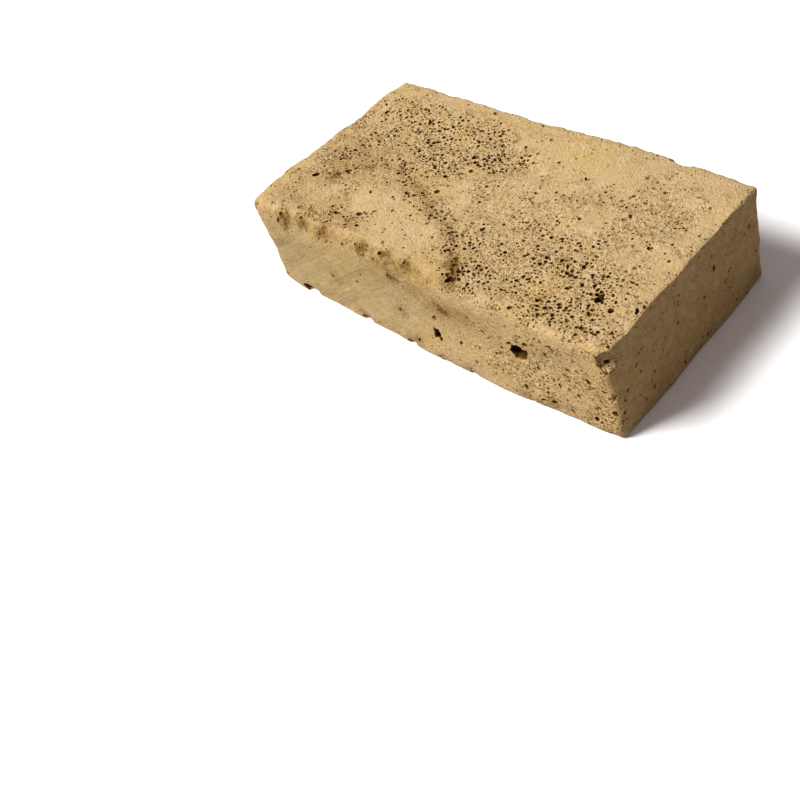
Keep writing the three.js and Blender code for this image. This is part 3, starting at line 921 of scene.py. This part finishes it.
# Few crumbs are lost at the front, and none at the foot. Both effects fade over this far.
CRUMB_FADE = 6
FRONT_SHARE = 0.15
FRONT_STRIP = 0.1
CHIPS = {
    "right": [((-27.2, 22), 2.7, 1.25, 90, 0.6), ((-27.4, 12), 1, 1.6, 80, 0.5)],
    "back": [((32, 25), 2, 2.6, 0, 0.4), ((-8, 24.6), 1.6, 1.8, 0, 0.4)],
    "left": [((-10, 24.4), 1.8, 1.6, 0, 0.4), ((12, 1), 1.4, 1.4, 0, 0.5)],
    "front": [((28, 0), 1.2, 1.8, 0, 0.5), ((-49.5, 12), 1.6, 1.8, 90, 0.4), ((-33, 0), 1.2, 2, 0, 0.4)],
}

from_front = net_points[:, 1] / CRUMB_FADE + HALF[1] / CRUMB_FADE
by_front = mix(FRONT_SHARE, 1, smooth(from_front - FRONT_STRIP))
by_foot = smooth(net_points[:, 2] / CRUMB_FADE)
store(block, "edge", near_edge(net_points, EDGE_REACH) * by_foot * by_front)
skin = open_bubbles(copy_of(block, "block copy"), block, CRUMBS, "crumbled block")
skin = cut_out(skin, eggs("chips", CHIPS), "chipped block")
bpy.data.objects.remove(block)

# %% [markdown]
# ## The holes that make it this stone
# Most bubbles are alike, but a few are large enough to know the stone by, such as the two deep holes in the
# front. They are listed one by one, with the same five facts as the chips. Where a hole is really two bubbles
# that have run together, the second is cut after the first.

# %% Holes in the front, and notches along its foot
FRONT_HOLES = [
    ((26.9, 13.8), 2.15, 1.05, -35, 2),
    ((3.4, 8.4), 1.4, 1.3, 80, 1.5),
    ((3.9, 12.8), 0.9, 1.3, 60, 0.4),
    ((10.6, 8.9), 0.6, 1.8, 75, 0.9),
    ((22.6, 12.9), 0.6, 1.2, 0, 1),
    ((29.9, 17.4), 0.8, 1.3, 20, 0.9),
    ((34.6, 16.6), 0.7, 1.7, -40, 0.9),
    ((39.6, 14.6), 0.7, 1.4, -20, 0.9),
    ((44.4, 14.2), 0.75, 1.6, -50, 0.9),
    ((37, 20), 0.7, 2, -50, 0.8),
    ((7, 16.3), 0.6, 2, 20, 0.6),
    ((-6.2, 20.6), 0.5, 1.8, -40, 0.7),
    ((-7.4, 10), 0.5, 1.6, 60, 0.8),
    ((-28.4, 11), 0.5, 1.3, 30, 0.8),
    ((-40.8, 22.6), 0.8, 1.8, 75, 0.6),
    ((-3.3, 3.4), 0.6, 1.8, 50, 0.6),
    ((34.2, 3.4), 0.85, 1.4, 40, 0.8),
    ((44.5, 3.4), 0.75, 1.3, 60, 0.9),
    ((31.4, 2.7), 0.6, 1.5, 30, 0.9),
    ((49.2, 7.3), 0.8, 1.4, 80, 0.8),
    ((-40.4, 1.3), 2.2, 1.3, 0, 0.7),
    ((-21.7, 0.7), 1.6, 1.4, 0, 0.7),
    ((-6.5, 0.4), 1.6, 1.5, 0, 0.7),
    ((4.2, 0), 1.3, 1.6, 0, 0.7),
    ((12, 0), 1.1, 1.6, 0, 0.7),
]
print("placed in the front:", len(FRONT_HOLES))

# %% Holes in the top
TOP_HOLES = [
    ((40.6, -14.3), 1.1, 1.15, 70, 1.4),
    ((44.4, -16.1), 0.75, 1.1, 0, 1.2),
    ((49.1, -14.1), 0.65, 1.9, -65, 1.4),
    ((41.4, -18.7), 0.55, 1.2, 10, 1.2),
    ((31.7, -11.5), 0.6, 1.2, 80, 1.2),
    ((33.5, -14.8), 0.55, 1.2, 40, 1.2),
    ((30.3, -20.2), 0.65, 1.5, 80, 1.2),
    ((22.3, -11.3), 0.55, 1.2, 0, 1.2),
    ((28.1, -5.1), 0.45, 1.2, 0, 1),
    ((6.7, -8.9), 0.65, 1.1, 0, 1.1),
    ((1.4, -12.6), 0.6, 1.3, 30, 1),
    ((7.6, -18.4), 0.6, 1.8, 30, 0.9),
    ((-21.7, -17.4), 0.85, 1.4, 15, 1),
    ((10.4, -23.6), 1, 1.5, 30, 0.8),
    ((-39.9, -26), 0.6, 1.8, -20, 0.8),
    ((-15.6, -25.6), 0.5, 1.8, 0, 0.8),
    ((-8.4, -25.2), 0.6, 1.7, 20, 0.8),
    ((-18.9, -15.3), 0.5, 2.4, 35, 0.9),
    ((-19.4, -20.6), 0.6, 1.2, 0, 1),
    ((-41.5, -11.8), 0.9, 1.2, 40, 0.8),
    ((-38.7, -9.7), 0.5, 2.4, 35, 0.9),
    ((-31.9, -11.3), 0.4, 1.1, 0, 1),
    ((-24.4, -10.8), 0.5, 1.2, 0, 1),
    ((-36.6, -13.4), 0.35, 1.1, 0, 1),
    ((-11.2, -3.4), 0.75, 1.1, 0, 1.1),
    ((-10.4, -0.6), 0.45, 1.1, 0, 1.1),
    ((-16.6, -7.2), 0.8, 1.1, 30, 0.9),
    ((-16.9, -0.4), 0.5, 1.2, 60, 1),
    ((-0.1, -2), 0.5, 1.1, 0, 1),
    ((-12.1, 9.9), 0.75, 1.5, -70, 1.2),
    ((-9.4, 5.9), 0.65, 1.1, 0, 1.2),
    ((-5.1, 7.1), 0.5, 1.1, 0, 1.2),
    ((-7.2, 14.4), 0.45, 1.1, 0, 1.2),
    ((-16.9, 18), 0.6, 1.2, 30, 1.1),
    ((-18.4, 24.6), 0.7, 1.3, -40, 1),
    ((-31.1, 15.8), 0.7, 1.3, 85, 1.1),
    ((-24.1, 11), 0.6, 1.1, 0, 1.1),
    ((-44.2, 14.6), 0.7, 1.2, 50, 1),
    ((-10.8, 20.7), 0.5, 1.1, 0, 1),
    ((7.6, 15.8), 0.5, 1.1, 0, 1),
    ((16.5, 13.8), 0.55, 1.9, -55, 1),
    ((24.4, 9.4), 0.5, 1.1, 0, 1),
    ((32.4, 7.7), 0.6, 1.5, -50, 1),
    ((34.6, 16.9), 0.55, 1.2, 0, 0.9),
    ((41.2, 1.4), 0.55, 1.1, 0, 1),
    ((9.6, 5.3), 0.5, 1.1, 0, 1),
    ((16.7, -7.6), 0.45, 1.1, 0, 1),
]
print("placed in the top:", len(TOP_HOLES))

# %% Holes in the ends and the back
RIGHT_HOLES = [
    ((9.2, 16.8), 0.65, 1.7, 80, 1),
    ((12.5, 10.4), 0.6, 1.4, 60, 1),
    ((22.5, 17.3), 0.5, 2.2, 85, 0.9),
    ((-18.8, 14.9), 0.5, 2, 50, 0.9),
    ((-15, 4.5), 0.5, 1.6, 40, 0.9),
    ((-4.4, 1.6), 0.5, 1.8, 85, 0.9),
    ((-4.6, 13.5), 0.45, 1.3, 30, 0.9),
    ((9.2, 20), 0.4, 1.3, 30, 0.9),
    ((-10.3, 10.7), 0.4, 1.3, 30, 0.9),
    ((-25.2, 7), 0.5, 1.3, 80, 0.9),
]
BACK_HOLES = [
    ((-22, 9), 1.5, 1.2, 25, 1.3),
    ((12, 16), 1.1, 1.3, 70, 1.2),
    ((38, 7), 0.9, 1.2, 0, 1),
    ((-41, 17), 0.8, 1.5, 30, 1),
    ((-6, 5), 0.7, 1.4, 10, 1),
    ((26, 4), 0.6, 1.2, 10, 1),
]
LEFT_HOLES = [
    ((8, 9), 1.3, 1.2, 40, 1.3),
    ((-12, 15), 0.9, 1.3, 70, 1.1),
    ((17, 17), 0.7, 1.4, 20, 1),
    ((-3, 4), 0.7, 1.2, 0, 1),
]
print("placed in the ends and the back:", len(RIGHT_HOLES) + len(BACK_HOLES) + len(LEFT_HOLES))

# %% Small pits that are alike
RIM_PITS = [
    (-22.5, -1.6), (-20.8, -3.3), (-19.2, -4.7), (-15.4, -7.9), (-13.9, -9.2), (-12.1, -9.9),
    (-9.8, -10.2), (-6.5, -10.8), (-3.2, -10.9), (0.5, -11.6), (1.5, -13.2), (3.5, -14.5),
    (5.1, -16.4), (8.7, -20.1), (9.7, -22.1),
]
BACK_PATCH_PITS = [
    (-17.6, 10.5), (-10.2, 8.8), (-8.4, 10.4), (-7.2, 7.6), (-11.8, 7.5), (-12.8, 5.1), (-20.8, 7),
    (-21.1, 5.3), (-19, 8.8), (-18.2, 3.4), (-7.4, 12.9), (-12.7, 16.3), (-13.5, 18.8), (-23.9, 18),
    (2.1, 13.7), (-0.3, 12.3), (-2.8, 17.1), (-0.1, 15.2), (-31.1, 7.2), (-27.8, 1.9), (-28, 19.5),
    (-36.5, 17),
]
SLANTED_PITS = [
    (34.6, 20.9), (31.5, 11.2), (28.6, 7.9), (38.2, 12.4), (42.1, 15.8), (27.2, 4.4), (47.6, 12.9),
    (48.9, 11.3), (45.6, 7.2), (38.6, 2.6), (33.2, 5.6), (36.5, 9), (40.9, 8.2), (23.4, 16.1),
    (18.5, 15.4), (15, 18),
]
TOP_HOLES += [(place, 0.42, 1.6, -35, 0.9) for place in RIM_PITS]
TOP_HOLES += [(place, 0.48, 1.2, 40, 1.1) for place in BACK_PATCH_PITS]
FRONT_HOLES += [(place, 0.55, 1.6, -45, 0.8) for place in SLANTED_PITS]
KNOWN_HOLES = {
    "front": FRONT_HOLES, "top": TOP_HOLES, "right": RIGHT_HOLES, "back": BACK_HOLES, "left": LEFT_HOLES,
}
print("known holes by face:", {face: len(some) for face, some in KNOWN_HOLES.items()})

# %% Second bubbles, run together with a first one
SIDE_HOLES = {
    "front": [
        ((28.8, 14.4), 0.9, 1.3, 60, 1.6),
        ((25.2, 15.5), 0.7, 1.5, 40, 1.3),
        ((4.2, 7), 0.7, 1.3, 60, 1.5),
    ],
    "top": [((-20.2, -16.6), 0.5, 1.5, 20, 0.9), ((49.7, -12.6), 0.5, 1.4, -65, 1.2)],
    "back": [((-24.4, 10.4), 0.8, 1.3, 60, 1.1)],
    "right": [((-26.4, 20.8), 0.8, 1.4, 40, 3.2)],
}
print("second bubbles:", sum(len(some) for some in SIDE_HOLES.values()))

# %% [markdown]
# ## Where the bubbles crowd, the grime gathers and shade is painted
# On the real stone the bubbles are far from even. The top has two crowded patches, a smooth crust by its
# front left corner and a dusty strip along its back edge. Brown grime lies along the front edge, and here
# and there it makes a smudge. The same numbers paint brown shade along the low step at the crust's rim and
# into the chip at the near top corner. The left half of the front is scratched. Each of these is a rule
# that gives every point a number from 0 to 1. The numbers are stored on the mesh, where the bubble maker
# and the material can read them. A patch is given by its middle, its two reaches and its strength.

# %% Which way the points look
FACE_AXES = {
    "right": (0, 1), "left": (0, -1), "back": (1, 1), "front": (1, -1), "top": (2, 1), "base": (2, -1),
}
UPWARD_GAIN = 1.5


def face_shares(outward):
    """How much each point looks the way of each face, from 0 to 1."""
    return {face: np.clip(sign * outward[:, axis], 0, 1) ** 2 for face, (axis, sign) in FACE_AXES.items()}


def over_faces(amounts, outward):
    """The amount of the face that each point belongs to, blended over the edges."""
    return sum(amounts[face] * share for face, share in face_shares(outward).items())


def upwards(outward):
    """How much each point looks up. The slope of a worn edge still counts in full."""
    return np.clip(UPWARD_GAIN * outward[:, 2], 0, 1)


def read(made, what):
    """A position or normal of every point of a mesh."""
    values = np.zeros(3 * len(made.data.vertices), np.float32)
    source = made.data.vertices if what == "co" else made.data.vertex_normals
    source.foreach_get("co" if what == "co" else "vector", values)
    return values.reshape(-1, 3).astype(float)


skin_points = read(skin, "co") / MM + BOX_CENTRE
skin_outward = read(skin, "normal")
print("share of the points that look up:", round(float((upwards(skin_outward) == 1).mean()), 2))

# %% Smudges, and painted shade in the corner chip
SMUDGES = {
    "top": [
        (-41.3, -25.9), (-35.2, -25.2), (-28.5, -25.6), (-15.4, -25.2), (-8.3, -25), (-2, -25.6),
        (-38.5, -10.5), (-31, -14.5), (-33, -4), (-24, -20), (10, -23.5), (7.3, -20.5),
    ],
    "front": [
        (-40.8, 22.8), (-6.4, 20.8), (7, 16.4), (-28.3, 11), (-7.5, 10), (-3.3, 3.4), (-21.9, 2.3),
        (-40.4, 2), (-6.5, 2), (4.2, 1.5), (12, 1.5), (34, 3.5), (27.5, 3),
    ],
}
SMUDGE_REACH = (1.7, 1.7)
# Painted shade in the chip at the near top corner.
CHIP_SHADE = {"at": (51.2, -27, 21.5), "reach": 2.6, "strength": 0.8}


def smudges_and_chip_shade(p, outward):
    """1 in the middle of a small brown spot, where grime and fine bubbles gather, and 0 away from them. The
    spot in the corner chip is painted shade.
    """
    x, y, z = p.T
    spots = upwards(outward) * sum(hill(x, y, at, SMUDGE_REACH) for at in SMUDGES["top"])
    spots += face_shares(outward)["front"] * sum(hill(x, z, at, SMUDGE_REACH) for at in SMUDGES["front"])
    from_corner = ((p - CHIP_SHADE["at"]) ** 2).sum(axis=1)
    spots += CHIP_SHADE["strength"] * np.exp(-(from_corner / CHIP_SHADE["reach"] ** 2))
    return np.clip(spots, 0, 1)


print("smudges:", {face: len(some) for face, some in SMUDGES.items()}, "and one on the corner")

# %% Crowding of fine and wide bubbles
CROWDED = {
    "top": [
        patch("heart of the back patch", (-19, 10.5), (13, 11), 1, crisp=1.5),
        patch("back left band", (-34, 12), (14, 9), 0.75, turn=-8, crisp=2),
        patch("thick of the back patch", (-15, 9), (8, 6), 0.5),
        patch("thin end of the back patch", (-3, 12), (8, 6), 0.3),
        patch("crust rim, left part", (-21, -3.5), (11, 2.4), 0.8, turn=-25),
        patch("crust rim, middle part", (-6, -9.5), (10, 2.4), 0.8, turn=-28),
        patch("crust rim, right part", (6, -18), (9, 3), 0.9, turn=-52),
        patch("brown hollows at the left", (-38, -4), (9, 5), 0.5, turn=-10),
        patch("front patch", (29, -17), (22, 11), 1, crisp=2),
        patch("start of the front patch", (14, -16), (10, 7), 0.5),
        patch("small pits by the front left", (-31, -20.5), (9, 3.5), 0.6),
        patch("middle", (14, -2), (18, 8), 0.4),
        patch("by the left edge", (-44, -1), (9, 15), 0.4),
        patch("by the right edge", (38, 6), (14, 13), 0.3),
    ],
    "front": [patch("pitted right half", (38, 9), (19, 14), 0.36, crisp=2)],
}
CROWDED_EVENLY = {"top": 0.11, "base": 0.05, "front": 0.1, "back": 0.12, "left": 0.14, "right": 0.13}
# Between the patches and in them the bubbles stand in clumps, by soft noise of two sizes.
CLUMPS = ({"size": 3.2, "seed": 6, "share": 1}, {"size": 7, "seed": 9, "share": 0.7})
CLUMPING = 1.1
CLUMP_RANGE = (0.35, 1.5)
CROWDED_IN_SMUDGES = 0.3
WIDE_POWER = 1.7
FINE_POWER = 1.2


def crowding(p, outward):
    """How crowded the bubbles are at each point, from 0 to 1."""
    x, y, z = p.T
    shares = face_shares(outward)
    patches = shares["top"] * hills(CROWDED["top"], x, y) + shares["front"] * hills(CROWDED["front"], x, z)
    clumps = sum(clump["share"] * bumps(p, clump["size"], clump["seed"]) for clump in CLUMPS)
    clumped = mix(*CLUMP_RANGE, smooth(0.5 + CLUMPING * clumps))
    crowded = (patches + over_faces(CROWDED_EVENLY, outward)) * clumped
    return np.clip(crowded + CROWDED_IN_SMUDGES * smudges_and_chip_shade(p, outward), 0, 1)


crowd = crowding(skin_points, skin_outward)
store(skin, "crowding", crowd)
store(skin, "wide_crowding", crowd**WIDE_POWER)
store(skin, "fine_crowding", crowd**FINE_POWER)
print("crowded:", "; ".join(p["name"] for patches in CROWDED.values() for p in patches))
print("crowding: mean", round(float(crowd.mean()), 2), "most", round(float(crowd.max()), 2))

# %% Grime, and painted shade at the crust's rim
GRIME_AND_SHADE_PATCHES = {
    "top": [
        patch("along the left half of the front edge", (-18, -26.5), (32, 2), 0.9, crisp=2),
        # The next three patches paint shade along the low step at the crust's rim.
        patch("along the crust's rim", (-13, -6.5), (18, 1.8), 0.7, turn=-27),
        patch("bend of the crust's rim", (2.5, -16), (6, 1.8), 0.6, turn=-42),
        patch("end of the crust's rim", (8.5, -22.5), (5, 2.2), 0.75, turn=-60),
        patch("round the hollow at the left", (-39, -10.5), (8, 3), 0.6, turn=25),
        patch("round the small pits at the front left", (-30, -20.5), (13, 4), 0.5),
        patch("by the left edge", (-40, -1), (13, 6), 0.6),
        patch("back patch", (-15, 10), (15, 12), 0.06),
        patch("front patch", (28, -16), (22, 12), 0.06),
        patch("front corner at the left", (-46, -20), (7, 8), 0.4),
    ],
    "front": [
        patch("brown stain", (9, 17), (10, 4), 0.9),
        patch("pitted right half", (32, 7), (22, 14), 0.08),
        patch("left corner", (-47, 18), (6, 9), 0.4),
        patch("under the middle of the front edge", (-7, 21), (13, 4), 0.6),
    ],
}
SOILED_EVENLY = {"top": 0.1, "front": 0.04, "right": 0.5, "left": 0.2, "back": 0.3, "base": 0.1}
SOILED_IN_SMUDGES = 0.85


def grime_and_shade_at(p, outward):
    """How much brown grime, and painted shade at the crust's rim and the corner chip, each point has. It is 1
    at most, and a smudge adds to that.
    """
    x, y, z = p.T
    patches = upwards(outward) * hills(GRIME_AND_SHADE_PATCHES["top"], x, y)
    patches += face_shares(outward)["front"] * hills(GRIME_AND_SHADE_PATCHES["front"], x, z)
    soiled = np.clip(patches + over_faces(SOILED_EVENLY, outward), 0, 1)
    return soiled + SOILED_IN_SMUDGES * smudges_and_chip_shade(p, outward)


soiled = grime_and_shade_at(skin_points, skin_outward)
store(skin, "soiled", soiled)
print("grimy:", "; ".join(p["name"] for patches in GRIME_AND_SHADE_PATCHES.values() for p in patches))
print("grime: mean", round(float(soiled.mean()), 2), "most", round(float(soiled.max()), 2))

# %% Scratches
SCRATCHED = patch("left half of the front", (-28, 11), (30, 14), 0.7, crisp=2)


def scratching(p, outward):
    """How far the long scratches of the front's left half take the place of the grit, from 0 to 1."""
    return face_shares(outward)["front"] * hills([SCRATCHED], p[:, 0], p[:, 2])


scratched = scratching(skin_points, skin_outward)
store(skin, "scratched", scratched)
print("scratched:", SCRATCHED["name"], "by at most", round(float(scratched.max()), 2))

# %% [markdown]
# ## Opening the bubbles
# The known holes are cut first. Then the tree runs twice: once for the wide, deep bubbles and once for the
# many fine ones between them. After each cut the result is taken as a plain mesh, so that the next cut
# starts from clean triangles and no modifier is left on the finished piece.

# %% Open the bubbles
WIDE = bubbles(
    "wide_crowding", gap=0.75, most=1.8e6, radii=(0.26, 0.66), middles=(-0.4, 0.05), sides=6, rings=3, seed=3,
)
FINE = bubbles(
    "fine_crowding", gap=0.6, most=1.9e6, radii=(0.18, 0.36), middles=(-0.4, 0.2), sides=5, rings=2, seed=11,
)

stone = cut_out(copy_of(skin, "skin copy"), eggs("known holes", KNOWN_HOLES), "stone with known holes")
stone = cut_out(stone, eggs("side holes", SIDE_HOLES), "stone with side holes")
stone = open_bubbles(stone, skin, WIDE, "stone with wide bubbles")
stone = open_bubbles(stone, skin, FINE, "stone with fine bubbles")
bpy.data.objects.remove(skin)

# %% [markdown]
# ## The looks of the walls and rims
# A cut leaves its new points without numbers, so grime and painted shade would end in a pale ring round
# every pit. Each point now takes its grime, painted shade and scratches from its own place and from the
# direction of the nearest old point. The crowding stays off the new points, because the walls of a pit
# are smoother than the stone between the pits. It is stored once more under the name of patch, which says
# how much of the painted shade and grime of the pits the walls take.

# %% Numbers for the walls and rims
nearest = KDTree(len(skin_points))
for number, point in enumerate(skin_points):
    nearest.insert(point, number)
nearest.balance()
stone_points = read(stone, "co") / MM + BOX_CENTRE
stone_outward = skin_outward[[nearest.find(point)[1] for point in stone_points]]
for name, rule in {"patch": crowding, "soiled": grime_and_shade_at, "scratched": scratching}.items():
    store(stone, name, rule(stone_points, stone_outward))
print("looks given to", len(stone_points), "points")

# %% Crisp rims, soft walls
RIM_ANGLE = math.radians(38)
stone.name = "pumice_stone_finish"
stone.data.name = stone.name
stone.data.polygons.foreach_set("use_smooth", [True] * len(stone.data.polygons))
stone.data.set_sharp_from_angle(angle=RIM_ANGLE)
print("finish:", len(stone.data.vertices), "points,", len(stone.data.polygons), "faces")

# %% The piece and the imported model
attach(stone, "root")
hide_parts("pumice_stone")
print(stone.name, "takes the place of pumice_stone")

# %% [markdown]
# ## Floor and light
# The stone stands on a plain pale floor. One large soft light shines from high on the left, past the
# camera's shoulder. It is strong on the top, a little weaker on the long side, and misses the end, which is
# lit only by what the floor and the pale surroundings send back.

# %% Floor
FLOOR_SEEN = (0.9, 0.9, 0.9, 1)
FLOOR_SENT_BACK = (0.46, 0.43, 0.42, 1)
FLOOR_ROUGHNESS = 0.9
FLOOR_SHINE = 0.1
FLOOR_SIZE = 4000
FLOOR_DROP = 0.05


def floor_material():
    """Pale to the camera, and duller in the light that it sends back to the stone."""
    material = bpy.data.materials.new("pale_floor")
    material.use_nodes = True
    tree = material.node_tree
    shader = tree.nodes["Principled BSDF"]
    shader.inputs["Roughness"].default_value = FLOOR_ROUGHNESS
    shader.inputs["Specular IOR Level"].default_value = FLOOR_SHINE
    to_camera = add_node(tree, "ShaderNodeLightPath").outputs["Is Camera Ray"]
    tree.links.new(mixed(tree, to_camera, FLOOR_SENT_BACK, FLOOR_SEEN), shader.inputs["Base Color"])
    return material


side = FLOOR_SIZE / 2
corners = [(-side, -side), (side, -side), (side, side), (-side, side)]
floor = add_mesh("floor", [(x, y, -FLOOR_DROP) for x, y in corners], [range(len(corners))])
floor.data.materials.append(floor_material())
print("floor:", FLOOR_SIZE * MM, "m wide,", FLOOR_DROP, "mm under the stone")

# %% Light
KEY_FROM = Vector((-0.4, -0.46, 0.81)).normalized()
KEY_AWAY = 1500
KEY_SIZE = 550
KEY_POWER = 38.2
ROOM_COLOUR = (1, 0.87, 0.86, 1)
ROOM_STRENGTH = 0.27

key = bpy.data.objects.new("key_light", bpy.data.lights.new("key_light", "AREA"))
key.data.energy = KEY_POWER
key.data.size = KEY_SIZE * MM
key.location = KEY_FROM * KEY_AWAY * MM
key.rotation_mode = "QUATERNION"
key.rotation_quaternion = KEY_FROM.to_track_quat("Z", "Y")
bpy.context.scene.collection.objects.link(key)

world = bpy.data.worlds.new("pale_room")
world.use_nodes = True
background = world.node_tree.nodes["Background"]
background.inputs["Color"].default_value = ROOM_COLOUR
background.inputs["Strength"].default_value = ROOM_STRENGTH
bpy.context.scene.world = world
bpy.context.scene.view_settings.view_transform = "Standard"
print("the light stands", KEY_AWAY * MM, "m away and is", KEY_SIZE * MM, "m wide")
